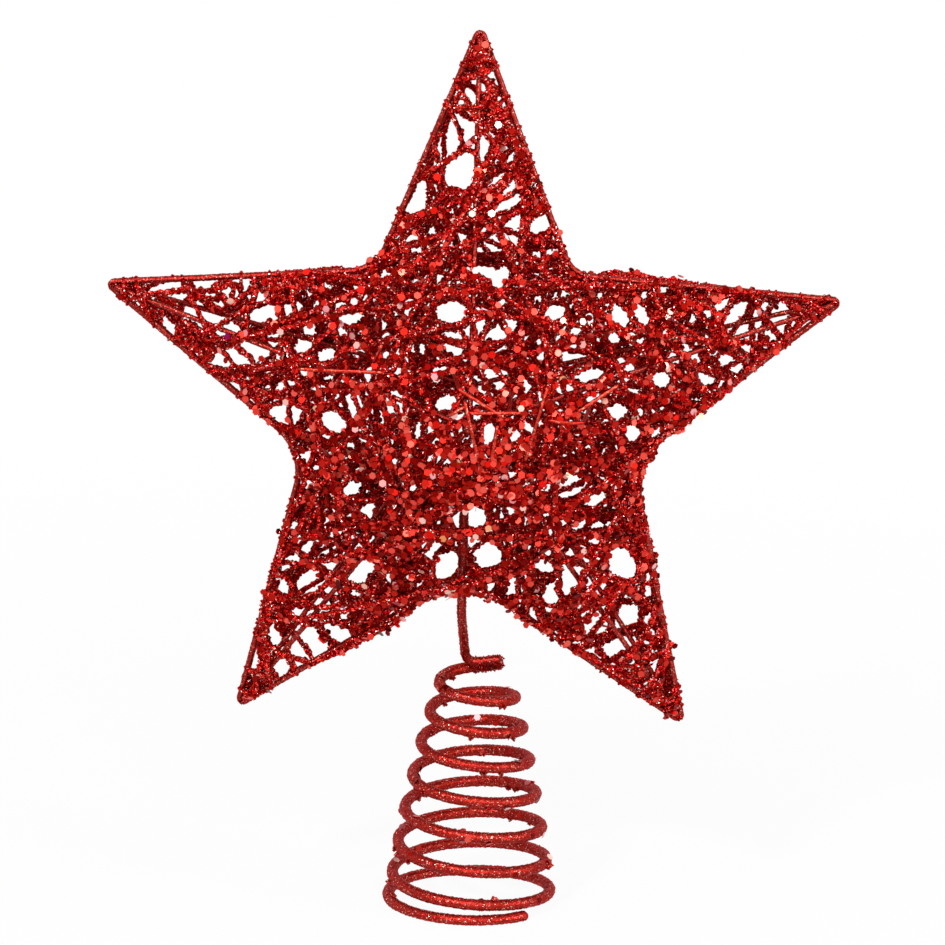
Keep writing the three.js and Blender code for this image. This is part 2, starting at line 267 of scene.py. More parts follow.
turns = np.array([spring_point(t) for t in np.linspace(0, spring_turns, 600)])
tail_way = unit((turns[0] - turns[8]) * [1, 0, 1])
spring_line = np.concatenate([[turns[0] + spring_tail * tail_way], turns,
                              [turns[-1] + spring_wire * unit(turns[-1] - turns[-2])]])
spring_path = evenly(spring_line, grain_step)


def on_coil(spots, radius):
    """Places on the spring's skin from turns and degrees up from straight out, and the way out at each."""
    places = []
    outs = []
    for turn, up in spots:
        around = math.pi / 2 + 2 * math.pi * turn
        lift = math.radians(up)
        out = np.array([math.cos(lift) * math.cos(around), math.cos(lift) * math.sin(around), math.sin(lift)])
        outs.append(out)
        places.append(spring_point(turn) + radius * out)
    return np.array(places), np.array(outs)


def on_spring(made):
    """The piece stands on the table with the spring, and rides with it, with a mesh of its own."""
    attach(made, "spring")
    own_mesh(made)


draw = np.random.default_rng(11)
spring_points, spring_faces = wire(spring_path, spring_wire / 2, spring_sides, coat_grain, draw)
spring_points[:, 2] = np.maximum(spring_points[:, 2], 0)
spring = piece("coil_spring", [(spring_points, spring_faces)], spring_coat, True)
on_spring(spring)
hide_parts("cone_spring")

# Loose grains all over the wire, and drips of them along its lower side.
places, out = on_wire(spring_path, spring_wire / 2, spring_crumbs, draw)
places = places - crumb_sink * out
sizes = draw.uniform(*crumb_sizes, spring_crumbs)
drips, down = on_wire(spring_path, spring_wire / 2, 40 * spring_drips, draw)
low = np.flatnonzero((down[:, 2] < drip_facing) & (drips[:, 2] > drip_lowest))[:spring_drips]
drips = np.concatenate([drips[low], on_coil(seen_drips, spring_wire / 2)[0]])
heaped = np.repeat(drips, drip_crumbs, axis=0) + draw.normal(0, drip_spread, (len(drips) * drip_crumbs, 3))
places = np.concatenate([places, heaped])
sizes = np.concatenate([sizes, draw.uniform(*drip_crumb_sizes, len(heaped))])
places[:, 2] = np.maximum(places[:, 2], crumb_lowest)
spring_grains = piece("spring_grains", [crumbs(places, sizes, draw)], spring_coat, False)
on_spring(spring_grains)

# Star outline
# One wire bent by hand round all five arms in one plane, with its two ends meeting in the bottom notch, so no
# two arms or notches are quite the same. It has the same grainy red coat as the other wires of the star.
outline_wire = 0.0019
outline_sides = 12
wire_grain = 0.05
star_reach = 0.108
arm_names = ["top", "right", "lower_right", "lower_left", "left"]
arms = len(arm_names)
arm_spacing = 2 * math.pi / arms
arm_reaches = np.array([0.1078, 0.1081, 0.1098, 0.1092, 0.1077])
arm_half_angles = np.radians([21.4, 21.8, 22.1, 22.2, 21.9])
arm_leans = np.radians([0.0, -0.15, -1.4, 0.4, 0.2])
tip_bend = 0.0010
notch_bends = [0.009, 0.022, 0.025, 0.017, 0.012]
bottom_notch = 2
bend_steps = 17

outline_low, outline_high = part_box("star_outline_wire")
star_centre = np.array([(outline_low.x + outline_high.x) / 2, (outline_low.y + outline_high.y) / 2,
                        outline_high.z - star_reach])
tip_reaches = arm_reaches - outline_wire / 2
apex_reaches = tip_reaches + tip_bend * (1 / np.sin(arm_half_angles) - 1)


def arm_angle(k):
    return math.pi / 2 - arm_spacing * k + arm_leans[k]


def spoke(angle, radius):
    return radius * np.array([math.cos(angle), 0, math.sin(angle)])


def apex(k):
    """Where the two legs of an arm would meet if its tip were sharp."""
    return spoke(arm_angle(k), apex_reaches[k])


def leg_way(k, side):
    """The way that one leg of an arm runs in from the tip. The side is 1 for the leg that comes first."""
    return spoke(arm_angle(k) + math.pi - side * arm_half_angles[k], 1)


def notch_corner(k):
    """Where the legs on both sides of a notch would meet if it were sharp."""
    after = (k + 1) % arms
    gap = apex(after) - apex(k)
    leg, other = leg_way(k, -1), leg_way(after, 1)
    run = (gap[0] * other[2] - gap[2] * other[0]) / (leg[0] * other[2] - leg[2] * other[0])
    return apex(k) + run * leg


def rounded(corners, radii, steps):
    """A line through corners, with an arc at each one between the ends."""
    line = [corners[0]]
    for before, corner, after, radius in zip(corners, corners[1:], corners[2:], radii):
        back, on = unit(before - corner), unit(after - corner)
        half = math.acos(np.clip(back.dot(on), -1, 1)) / 2
        middle = corner + unit(back + on) * radius / math.sin(half)
        first = corner + back * radius / math.tan(half) - middle
        last = corner + on * radius / math.tan(half) - middle
        turn = math.pi - 2 * half
        for t in np.linspace(0, 1, steps):
            swing = first * math.sin((1 - t) * turn) + last * math.sin(t * turn)
            line.append(middle + swing / math.sin(turn))
    line.append(corners[-1])
    return np.array(line)


def on_star(made, node=None):
    """The piece rides with the star, and shows a node of the solids where one is named."""
    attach(made, "star")
    if node:
        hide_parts(node)


# The outline runs clockwise from the middle of the bottom notch, round each arm and notch.
corners = []
bends = []
for i in range(arms):
    k = (bottom_notch + i) % arms
    corners += [notch_corner(k), apex((k + 1) % arms)]
    bends += [notch_bends[k], tip_bend]
outline = rounded([corners[-1]] + corners + [corners[0]], bends, bend_steps)[1:-1]
outline = np.roll(outline, -(bend_steps // 2), axis=0)
outline = np.concatenate([outline, outline[:1]])

# The wires' flakes take red tones at random. The tones past 0.93, towards pale pink, are painted glints:
# flakes painted as if they catch a lamp.
wire_coat_and_glints = glitter_finish("wire_coat_and_glints", [
    (0.0, (0.12, 0.003, 0.002)), (0.5, (0.29, 0.010, 0.005)), (0.93, (0.44, 0.024, 0.014)),
    (1.0, (0.90, 0.40, 0.32))], flake=0.00025, tilt=0.45, roughness=0.36, coat=0.20)
draw = np.random.default_rng(12)
line = evenly(star_centre + outline, grain_step)
bent_wire = wire(line, outline_wire / 2, outline_sides, wire_grain, draw)
on_star(piece("outline_wire", [bent_wire], wire_coat_and_glints, True), "star_outline_wire")

# Ribs and hubs
# Five straight wires on each face run from a weld bead at the hub to the tips, and puff the star out. They
# are welded on the face of the outline wire.
rib_wire = 0.0015
rib_sides = 10
rib_grain = 0.08
hub_depth = 0.025
hub_weld = 0.0044
bead_sides = 14
bead_rings = 15
weld_gap = 0.0003
rib_seat = (outline_wire + rib_wire) / 2 + weld_gap
faces_of_star = {"front": -1, "rear": 1}


def hub_point(face):
    return np.array([0, face * hub_depth, 0])


def rib_tip(k, face):
    return spoke(arm_angle(k), tip_reaches[k] - outline_wire / 2) + [0, face * rib_seat, 0]


draw = np.random.default_rng(13)
for word, face in faces_of_star.items():
    for k, arm in enumerate(arm_names):
        hub = star_centre + hub_point(face)
        tip = star_centre + rib_tip(k, face)
        foot = hub + unit(tip - hub) * (hub_weld / 2 - weld_gap)
        line = evenly(np.array([foot, tip]), grain_step)
        rib = wire(line, rib_wire / 2, rib_sides, rib_grain, draw)
        on_star(piece(f"{word}_rib_{arm}_wire", [rib], wire_coat_and_glints, True), f"{word}_rib_{arm}")
    way = np.array([0, hub_weld / 2, 0])
    rings = np.linspace(-1, 1, bead_rings)
    bead_line = np.array([star_centre + hub_point(face) + way * t for t in rings])
    bead_radii = hub_weld / 2 * np.sqrt(np.maximum(1 - rings**2, 0.01))
    bead = wire(bead_line, bead_radii, bead_sides, wire_grain, draw, False)
    on_star(piece(f"{word}_hub_bead", [bead], wire_coat_and_glints, True), f"{word}_hub_weld")

# Stem
# One wire that joins the star to the spring. Its foot lies along the spring's straight top end, and it leans
# up behind the outline in the bottom notch and on into the star.
stem_wire = 0.0027
stem_foot_x = 0.0007
stem_x = -0.001
stem_foot_lift = math.radians(40)
stem_foot_bend = 0.0032
stem_neck_bend = 0.012
stem_straight = 0.031
stem_bend_steps = 8
stem_sides = 14
stem_grain = 0.06
foot_heap = 1100
heap_reaches = (0.0008, 0.0019)
heap_shape = [0.4, 0.95, 1.25]
heap_sag = [0, 0.0005, 0.0001]
heap_crumb_sizes = (0.0003, 0.0005)

tail_end = spring_line[0]
beside = (spring_wire + stem_wire) / 2 + weld_gap
foot_end = tail_end + beside * np.array([0, -math.cos(stem_foot_lift), math.sin(stem_foot_lift)])
heel = foot_end + tail_way * (stem_foot_x - foot_end[0]) / tail_way[0]
stem_y = star_centre[1] + (outline_wire + stem_wire) / 2 + weld_gap
stem_top = np.array([stem_x, stem_y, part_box("stem_wire")[1].z])
neck = stem_top - [0, 0, stem_straight]
stem_line = rounded([foot_end, heel, neck, stem_top], [stem_foot_bend, stem_neck_bend], stem_bend_steps)
draw = np.random.default_rng(14)
stem = wire(evenly(stem_line, grain_step), stem_wire / 2, stem_sides, stem_grain, draw)
on_star(piece("stem", [stem], wire_coat_and_glints, True), "stem_wire")

# Glue and glitter heap up where the foot lies along the spring's end.
along = draw.random(foot_heap)[:, None]
seam = (tail_end + foot_end) / 2 * (1 - along) + (turns[0] + heel) / 2 * along
spread = unit(draw.standard_normal((foot_heap, 3))) * draw.uniform(*heap_reaches, (foot_heap, 1))
places = seam + spread * heap_shape - heap_sag
sizes = draw.uniform(*heap_crumb_sizes, foot_heap)
on_star(piece("foot_grains", [crumbs(places, sizes, draw)], spring_coat, False))

# Twine
# Glitter twine is wound round the outline by hand, criss-cross and pulled taut over the ribs, first across
# the body and then along each arm. Glue holds it, and gathers with glitter where strands meet.
twine = 0.0017
twine_step = 0.0006
ring_step = 0.0005
twine_sides = 6
twine_grain = 0.24
gathered_more = 0.45
wrap_radius = outline_wire / 2 + 0.0001
wrap_out = 0.5
wrap_aside = 0.87
pinch = 0.45
pinch_reach = 0.0022
over_rib = (rib_wire + twine) / 2
inside_room = 0.0006
lone_crowd = 0.27
crowd_span = 0.5
sway = 0.00022
sway_reach = 0.012
shiver = 0.00005
first_wrap = 0.004
shortest_strand = 0.05
body_strands = 130
body_choices = 7
arm_strands = {"top": 19, "right": 16, "lower_right": 26, "lower_left": 14, "left": 10}
arm_twine = 1.15
arm_choices = 4
arm_steps = (0.1, 1.5)
least_step = 0.001
notch_margin = 0.001
tip_margin = 0.003
heap = 0.0022
first_heap = 0.3
body_reach = 0.096
body_fade = 0.034

outline_lengths = np.concatenate([[0], np.cumsum(np.linalg.norm(np.diff(outline, axis=0), axis=1))])
outline_length = outline_lengths[-1]


def outline_at(along):
    """A place on the outline, and the direction that points out of the star there."""
    spots = np.array([along, along + ring_step]) % outline_length
    place, ahead = np.column_stack([np.interp(spots, outline_lengths, outline[:, i]) for i in range(3)])
    way = unit(ahead - place)
    return place, np.array([-way[2], 0, way[0]])


bearing_order = np.argsort(np.arctan2(outline[:, 2], outline[:, 0]))
outline_bearings = np.arctan2(outline[:, 2], outline[:, 0])[bearing_order]
outline_reaches = np.linalg.norm(outline, axis=1)[bearing_order]


def outline_reach(x, z):
    """How far from the centre the outline lies, in the direction of places on the star's face."""
    return np.interp(np.arctan2(z, x), outline_bearings, outline_reaches, period=2 * math.pi)


def runs_inside(start, end):
    """Whether a straight strand from one place on the outline to another stays inside the star."""
    share = np.linspace(0.06, 0.94, 24)[:, None]
    on = start + share * (end - start)
    return bool(np.all(np.hypot(on[:, 0], on[:, 2]) < outline_reach(on[:, 0], on[:, 2])))


def strand(start, start_out, end, end_out, face, lift):
    """A taut strand over one face of the star, from a turn round the outline to the next one."""
    first, last = [place + wrap_radius * (wrap_out * out + np.array([0, face * wrap_aside, 0]))
                   for place, out in ((start, start_out), (end, end_out))]
    supports = [(0.0, abs(first[1])), (1.0, abs(last[1]))]
    run = last - first
    for k in range(arms):
        tip = rib_tip(k, face)
        cross = run[0] * tip[2] - run[2] * tip[0]
        if abs(cross) < 1e-9:
            continue
        on_strand = (-first[0] * tip[2] + first[2] * tip[0]) / cross
        on_rib = (-first[0] * run[2] + first[2] * run[0]) / cross
        if 0.01 < on_strand < 0.99 and 0 < on_rib < 1:
            height = hub_depth + (rib_seat - hub_depth) * on_rib
            supports.append((on_strand, height + over_rib + lift * min(1, on_rib + 0.3)))
    supports.sort()
    taut = []
    for share, height in supports:
        while len(taut) > 1:
            (s0, h0), (s1, h1) = taut[-2], taut[-1]
            if h1 > h0 + (height - h0) * (s1 - s0) / (share - s0):
                break
            taut.pop()
        taut.append((share, height))
    flat = np.array([1, 0, 1])
    return [(first * (1 - s) + last * s) * flat + [0, face * h, 0] for s, h in taut]


def winding(places, face, draw):
    """The line of a winding through places on the outline, over one face and the other by turns."""
    line = []
    for i, ((start, start_out), (end, end_out)) in enumerate(zip(places, places[1:])):
        lift = heap * draw.random() * (first_heap + (1 - first_heap) * i / len(places))
        line += strand(start, start_out, end, end_out, face, lift)
        for angle in np.linspace(1, -1, 5)[1:-1] * math.pi / 3:
            round_wire = math.cos(angle) * end_out + np.array([0, face * math.sin(angle), 0])
            line.append(end + wrap_radius * round_wire)
        face = -face
    return evenly(np.array(line), twine_step)


def along_arm(k, side, distance):
    """Where the outline runs past a distance from the star's centre, along one leg of an arm."""
    across = spoke(arm_angle(k) + side * math.pi / 2, 1)
    half_width = (apex_reaches[k] - distance) * math.tan(arm_half_angles[k])
    out = spoke(arm_angle(k) + side * (math.pi / 2 - arm_half_angles[k]), 1)
    return spoke(arm_angle(k), distance) + half_width * across, out


def legs_from(k):
    """How far from the star's centre both legs of an arm are straight."""
    reaches = []
    for notch in ((k - 1) % arms, k):
        wedge = math.acos(leg_way(notch, -1).dot(leg_way((notch + 1) % arms, 1)))
        bent = notch_bends[notch] / math.tan(wedge / 2)
        reaches.append(notch_corner(notch).dot(spoke(arm_angle(k), 1)) + bent * math.cos(arm_half_angles[k]))
    return max(reaches)


# The larger gaps stay open through both faces, seen from a little above. A scratch script measured the gaps in
# the photograph, and these are the larger ones, rounded: each one's middle across and up from the star's, its
# length and width in millimetres, and its slope in degrees. Strands go round a gap. In gaps, the smallest come
# first, in metres and radians, with half their length and width.
seen_gaps = {
    "top": [(4, 85.5, 8.5, 3.5, 75), (-3, 67, 10, 5, 80), (18, 52.5, 8, 5, 65), (-22, 42.5, 5.5, 4, 85)],
    "right": [(62, 33.5, 7.5, 3.5, 0), (54.5, 32.5, 7, 5, 130), (47.5, 27.5, 6.5, 3.5, 115),
              (41, 27, 7.5, 3, 115), (66, 10, 5, 3, 150), (54, 9, 5, 3.5, 80)],
    "lower_right": [(44, -44.5, 10.5, 7.5, 125), (28.5, -64, 6.5, 3.5, 5), (22, -46, 6.5, 3, 160),
                    (42, -69.5, 5, 3, 30), (24, -55, 5, 3, 165)],
    "lower_left": [(-29.5, -48.5, 9, 5, 40), (-36.5, -67, 7.5, 4, 150), (-44.5, -34, 8.5, 3.5, 90),
                   (-52, -54, 5, 3.5, 125), (-52, -77, 5, 3.5, 135)],
    "left": [(-86.5, 25, 6.5, 3.5, 175), (-74.5, 30.5, 12, 2.5, 140), (-78, 16.5, 10.5, 4.5, 130),
             (-64.5, 30.5, 8, 4, 75), (-61, 15, 8, 3.5, 155), (-54.5, 32.5, 7, 3.5, 145),
             (-47.5, 16, 6, 3, 5), (-41, 14, 5.5, 4, 25), (-33.5, 24.5, 7.5, 3, 5)],
    "body": [(7.5, 37.5, 8, 4, 70), (-6, 27.5, 8.5, 7, 175), (23, 27.5, 5.5, 4, 35), (33, 10, 8.5, 3, 15),
             (-7.5, 1, 7, 3.5, 25), (41.5, 0, 6, 4, 5), (45.5, -6.5, 5, 4, 110), (-38.5, -5.5, 8, 5, 145),
             (6, -7, 4.5, 4, 110), (2.5, -32, 6.5, 5, 120), (-32.5, -24.5, 4.5, 4, 80), (6.5, -44, 8, 6, 20),
             (-5.5, -47, 9, 5.5, 70), (8.5, -50.5, 6, 3.5, 75)]}
gaps = np.array([gap for part in seen_gaps.values() for gap in part], dtype=float)
gaps = gaps[np.argsort(gaps[:, 2] * gaps[:, 3], kind="stable")]
gaps = gaps * [0.001, 0.001, 0.0005, 0.0005, math.pi / 180]
sight_fall = math.tan(camera_elevation)
strand_room = 0.0011
web_room = 0.0006
sequin_room = 0.0008
flake_room = 0.0002


def turned(x, z, angle):
    """The way across and up, turned by an angle."""
    return x * math.cos(angle) - z * math.sin(angle), x * math.sin(angle) + z * math.cos(angle)


def in_gap(places, gap, room):
    """How places lie in a gap, along and beside its slope. Its rim, with some room, is 1 from its middle."""
    x, z, long, short, slope = gap
    over = places[:, 2] + places[:, 1] * sight_fall - z
    along, beside = turned(places[:, 0] - x, over, -slope)
    return np.column_stack([along / (long + room), beside / (short + room)])


def clear_of_gaps(places, room):
    return np.all([np.linalg.norm(in_gap(places, gap, room), axis=1) > 1 for gap in gaps], axis=0)


# The winder looks for the bare patches of a face, so each strand goes where the fewest lie, and past the
# gaps rather than over them.
patch = 0.0036
patch_count = 64
laid = {face: np.zeros((patch_count, patch_count)) for face in faces_of_star.values()}
gap_worth = 2


def patches(start, end):
    """The patches of the star's face that a strand runs over."""
    share = np.linspace(0.04, 0.96, 40)[:, None]
    spots = ((start + share * (end - start))[:, [0, 2]] / patch).astype(int) + patch_count // 2
    return tuple(np.unique(spots, axis=0).T)


def barest(start, choices, face):
    """The choice that takes the next strand over the barest patches and fewest gaps. It is marked as laid."""
    runs = [patches(start[0], place) for place, _ in choices]
    costs = []
    for run, choice in zip(runs, choices):
        way = evenly(np.array(strand(*start, *choice, face, heap / 3)), 0.001)
        costs.append(laid[face][run].mean() - gap_worth * clear_of_gaps(way, strand_room).mean())
    best = costs.index(min(costs))
    laid[face][runs[best]] += 1
    return choices[best]


twine_lines = {}
draw = np.random.default_rng(200)
places = [outline_at(first_wrap)]
while len(places) <= body_strands:
    choices = []
    while len(choices) < body_choices:
        place = outline_at(draw.random() * outline_length)
        far_out = np.linalg.norm(place[0])
        if draw.random() > (body_reach - far_out) / body_fade:
            continue
        before = places[-1][0]
        if np.linalg.norm(place[0] - before) > shortest_strand and runs_inside(before, place[0]):
            choices.append(place)
    places.append(barest(places[-1], choices, 1 if len(places) % 2 == 0 else -1))
twine_lines["body"] = winding(places, -1, draw)

for k, arm in enumerate(arm_names):
    draw = np.random.default_rng(100 + k)
    nearest, furthest = legs_from(k) + notch_margin, tip_reaches[k] - tip_margin
    spot = nearest
    heading = 1
    places = [along_arm(k, -1, spot)]
    for i in range(arm_strands[arm]):
        width = 2 * (apex_reaches[k] - spot) * math.tan(arm_half_angles[k])
        steps = least_step + width * draw.uniform(*arm_steps, arm_choices)
        spots = np.clip(spot + heading * steps, nearest, furthest)
        choices = [along_arm(k, -1 if i % 2 else 1, s) for s in spots]
        places.append(barest(places[-1], choices, 1 if i % 2 else -1))
        spot = spots[[c is places[-1] for c in choices].index(True)]
        if spot in (nearest, furthest):
            heading = -heading
    twine_lines[arm] = winding(places, -1, draw)


def tree_of(points):
    """A tree that finds the nearest of some points."""
    tree = KDTree(len(points))
    for i, point in enumerate(points):
        tree.insert(point, i)
    tree.balance()
    return tree


ring = tree_of(evenly(outline, ring_step))
edge_lean = 0.4


def round_gaps(line, loose):
    """A strand's points, moved aside to the rim of each gap they cross, and inwards at one by the outline."""
    for gap in gaps:
        x, z, long, _, slope = gap
        edge, _, off_edge = ring.find((x, 0, z))
        inward = unit(np.array(turned(x - edge.x, z - edge.z, -slope)))
        inside = in_gap(line, gap, strand_room)
        crossed = np.linalg.norm(inside, axis=1) < 1
        if not crossed.any():
            continue
        way = unit(np.gradient(inside, axis=0))
        aside = np.column_stack([-way[:, 1], way[:, 0]])
        on = np.einsum("ij,ij->i", inside, way)
        off = np.einsum("ij,ij->i", inside, aside)
        side = np.sign(off + 1e-9)
        if off_edge < long + 2 * strand_room:
            lean = aside.dot(inward)
            side = np.where(np.abs(lean) > edge_lean, np.sign(lean), side)
        rim = side * np.sqrt(np.maximum(1 - on**2, 0))
        shift = (rim - off) * crossed * loose
        moved = aside * shift[:, None] * (gap[2:4] + strand_room)
        across, up = turned(moved[:, 0], moved[:, 1], slope)
        line = line + np.column_stack([across, np.zeros(len(line)), up])
    return line


def kept_inside(line, loose, fall):
    """The line with its free points brought inside the outline, seen from in front or from a little above."""
    over = line[:, 2] + fall * line[:, 1]
    out = np.hypot(line[:, 0], over)
    reach = outline_reach(line[:, 0], over) - inside_room
    kept = np.where((loose > 0.2) & (out > reach), reach / out, 1)
    return np.column_stack([line[:, 0] * kept, line[:, 1], over * kept - fall * line[:, 1]])


# The twine sways a little between the wraps, and is pulled thin where it turns round the outline wire.
window = np.hanning(round(sway_reach / twine_step))
window = window / np.linalg.norm(window)
draw = np.random.default_rng(240)
free = {}
for name, line in twine_lines.items():
    for _ in range(2):
        line = evenly(line, twine_step / 2)
        off = np.array([ring.find(point)[2] for point in line])
        loose = np.clip((off - wrap_radius) / pinch_reach, 0, 1)
        line = round_gaps(line, loose)
        line = kept_inside(line, loose, 0)
        line = kept_inside(line, loose, sight_fall)
    line = evenly(line, twine_step)
    off = np.array([ring.find(point)[2] for point in line])
    free[name] = np.clip((off - wrap_radius) / pinch_reach, 0, 1)
    noise = draw.standard_normal(line.shape)
    slow = np.column_stack([np.convolve(noise[:, i], window, "same") for i in range(3)])
    shake = sway * slow + shiver * draw.standard_normal(line.shape)
    twine_lines[name] = line + free[name][:, None] * shake

# How crowded the twine is at each of its points, which is where glue and glitter gather.
all_twine = np.concatenate(list(twine_lines.values()))
all_free = np.concatenate([free[name] for name in twine_lines])
cell = 0.001
field_low = all_twine.min(axis=0) - 4 * cell
field = np.zeros(((all_twine.max(axis=0) - field_low) / cell).astype(int) + 5)
np.add.at(field, tuple(((all_twine - field_low) / cell).astype(int).T), 1)
for axis in (0, 1, 2, 0, 1, 2):
    field = (np.roll(field, 1, axis) + 2 * field + np.roll(field, -1, axis)) / 4


def crowd_at(places):
    """How much twine lies round a place: a lone strand has about 0.25, two that cross about 0.5."""
    return field[tuple(((places - field_low) / cell).astype(int).T)]


crowd = np.clip((crowd_at(all_twine) - lone_crowd) / crowd_span, 0, 1) * all_free

# The twine's flakes take tones at random from dark maroon to red. The tones past 0.94, pink to near white, are
# painted glints: flakes painted as if they catch a lamp.
glitter_twine = glitter_finish("glitter_twine", [
    (0.0, (0.09, 0.001, 0.001)), (0.40, (0.30, 0.005, 0.003)), (0.85, (0.62, 0.021, 0.016)),
    (0.94, (0.84, 0.07, 0.055)), (0.965, (0.95, 0.52, 0.46)), (1.0, (0.98, 0.85, 0.80))],
    flake=0.00033, tilt=0.85, roughness=0.3, coat=0.0)


def twine_piece(name, node, line, gathered, loose, stout, draw):
    radii = stout * twine / 2 * (0.98 + gathered_more * gathered + draw.uniform(-0.1, 0.1, len(line)))
    radii = radii * (pinch + (1 - pinch) * loose)
    wound = wire(star_centre + line, radii, twine_sides, twine_grain, draw)
    on_star(piece(name, [wound], glitter_twine, False), node)


count = 0
for name, line in twine_lines.items():
    draw = np.random.default_rng(250)
    gathered = crowd[count:count + len(line)]
    loose = free[name]
    count += len(line)
    half = len(line) // 2
    if name == "body":
        for word, part in (("under", slice(None, half)), ("over", slice(half - 1, None))):
            twine_piece(f"body_twine_{word}", "twine_winding_body", line[part], gathered[part],
                        loose[part], 1, draw)
    else:
        twine_piece(f"{name}_twine", f"twine_winding_{name}", line, gathered, loose, arm_twine, draw)

# Glue webs the corners between strands, thick with grains, and fills the tips.
web_grains = 34000
web_grain_sizes = (0.00032, 0.00058)
web_crowd = 0.31
web_free = 0.6
web_spread = [0.0011, 0.0004, 0.0011]
tip_grains = 420
tip_past = 0.0004
tip_fill = 0.0090
tip_narrowest = 0.0005
tip_depth = 0.0016
draw = np.random.default_rng(260)
picked = draw.integers(0, len(all_twine), 12 * web_grains)
picked = picked[all_free[picked] > web_free]
places = all_twine[picked] + draw.normal(0, 1, (len(picked), 3)) * web_spread
places = places[crowd_at(places) > web_crowd]
places = places[clear_of_gaps(places, web_room)][:web_grains]
tips = []
for k in range(arms):
    reaches = tip_reaches[k] + tip_past - tip_fill * draw.random(tip_grains) ** 1.1
    room = (apex_reaches[k] - reaches) * math.tan(arm_half_angles[k]) - 0.5 * outline_wire
    room = np.maximum(room, tip_narrowest)
    across = spoke(arm_angle(k) + math.pi / 2, 1)
    outs = np.array([spoke(arm_angle(k), reach) for reach in reaches])
    tips.append(outs + (room * draw.uniform(-1, 1, tip_grains))[:, None] * across
                + draw.uniform(-tip_depth, tip_depth, (tip_grains, 1)) * [0, 1, 0])
places = np.concatenate([places] + tips)
for word, face in faces_of_star.items():
    half = places[places[:, 1] * face >= 0]
    web = crumbs(star_centre + half, draw.uniform(*web_grain_sizes, len(half)), draw)
    on_star(piece(f"{word}_glitter_web", [web], glitter_twine, False))

# A few last strands over the front carry no glitter, and shine bright red over the rest. Each runs from one
# place to another, across and up from the star's middle in millimetres.
bare_strands = [
    (-1.5, 7.5, 2.5, -8.5), (0.0, 4.7, 13.9, 4.6), (21.2, 11.1, 15.7, -9.3), (-5.9, 12.7, 9.2, 3.5),
    (11.8, 8.5, 10.8, 4.3), (22.3, 2.2, 33.6, 0.6), (30.1, 4.5, 40.8, 11.6), (-47.9, 13.7, -24.9, 14.4),
    (-25.2, 21.6, -27.2, 16.4), (-1.8, 6.3, -5.6, 3.9), (7.6, 0.8, 6.4, -8.1)]
bare_twine = 0.0011
bare_sides = 8
bare_grain = 0.06
bare_step = 0.0005
bare_dip = 0.0025
skin_reach = 0.002
front_twine = all_twine[all_twine[:, 1] < 0]
skin = tree_of(front_twine * [1, 0, 1])


def skin_depth(x, z):
    """How far in front of the star's middle its twine stands at a place."""
    near = [-front_twine[i][1] for _, i, _ in skin.find_range((x, 0, z), skin_reach)]
    return max(near) if near else 0


def laid_over(start, end, rise):
    """A strand that comes out of the twine, lies taut over it and goes in again."""
    shares = np.linspace(0, 1, 12)
    places = [start * (1 - s) + end * s for s in shares]
    heights = [skin_depth(x, z) + rise for x, z in places]
    taut = []
    for share, height in zip(shares, heights):
        while len(taut) > 1 and taut[-1][1] <= taut[-2][1] + (height - taut[-2][1]) * (
                taut[-1][0] - taut[-2][0]) / (share - taut[-2][0]):
            taut.pop()
        taut.append((share, height))
    line = [(x, -np.interp(s, *zip(*taut)), z) for s, (x, z) in zip(shares, places)]
    first, last = [(x, y + bare_dip, z) for x, y, z in (line[0], line[-1])]
    return np.array([first] + line + [last])


bare_red = glitter_finish("bare_red", [
    (0.0, (0.40, 0.015, 0.008)), (0.8, (0.64, 0.040, 0.022)), (1.0, (0.90, 0.26, 0.18))],
    flake=0.0004, tilt=0.3, roughness=0.3, coat=0.1)
draw = np.random.default_rng(270)
parts = []
for strand_ends in bare_strands:
    ends = np.array(strand_ends) / 1000
    line = evenly(star_centre + laid_over(ends[:2], ends[2:], bare_twine), bare_step)
    parts.append(wire(line, bare_twine / 2, bare_sides, bare_grain, draw))
on_star(piece("bare_twine", parts, bare_red, True))

# Sequins
# Six-sided sequins of metallised film, strewn on the wet glue. They lie on the strands at all angles, and
# thickest in the lower middle and to the lower right.
sequin_across = 0.0021
sequin_thickness = 0.00008
sequin_corners = 6
star_sequins = 7400
sequin_lean = 0.33
sequin_lift = 0.55
sequin_stack = 0.0006
sequin_stray = 0.0005
thickest_at = (-0.010, -0.018)
thick_reach = (0.030, 0.028)
spring_sequins = 44
spring_sequin_lowest = 0.003
spring_sequin_lift = 0.00012
spring_sequin_lean = 0.25
loose_flakes = 7000
flake_free = (0.3, 1.2)
flake_lift = 0.5
flake_heap = 0.42
flake_across = 0.0005
flake_thickness = 0.00005
flake_corners = 4


def chips(centres, normals, radii, thickness, corners, draw):
    """Flat chips with a number of corners, each turned at random in its own plane."""
    count = len(centres)
    helper = unit(draw.standard_normal((count, 3)))
    first = unit(np.cross(normals, helper))
    second = np.cross(normals, first)
    turn = 2 * np.pi * np.arange(corners) / corners
    rim = np.cos(turn)[None, :, None] * first[:, None, :] + np.sin(turn)[None, :, None] * second[:, None, :]
    rim = rim * radii[:, None, None]
    half = normals[:, None, :] * thickness / 2
    points = np.concatenate([centres[:, None, :] + rim - half, centres[:, None, :] + rim + half], axis=1)
    faces = []
    for i in range(count):
        low = 2 * corners * i
        high = low + corners
        faces.append([low + j for j in range(corners)][::-1])
        faces.append([high + j for j in range(corners)])
        for j in range(corners):
            after = (j + 1) % corners
            faces.append([low + j, low + after, high + after, high + j])
    return points.reshape(-1, 3), faces


def sequin_piece(name, centres, normals, sizes, film, draw):
    return piece(name, [chips(centres, normals, sizes, sequin_thickness, sequin_corners, draw)], film, False)


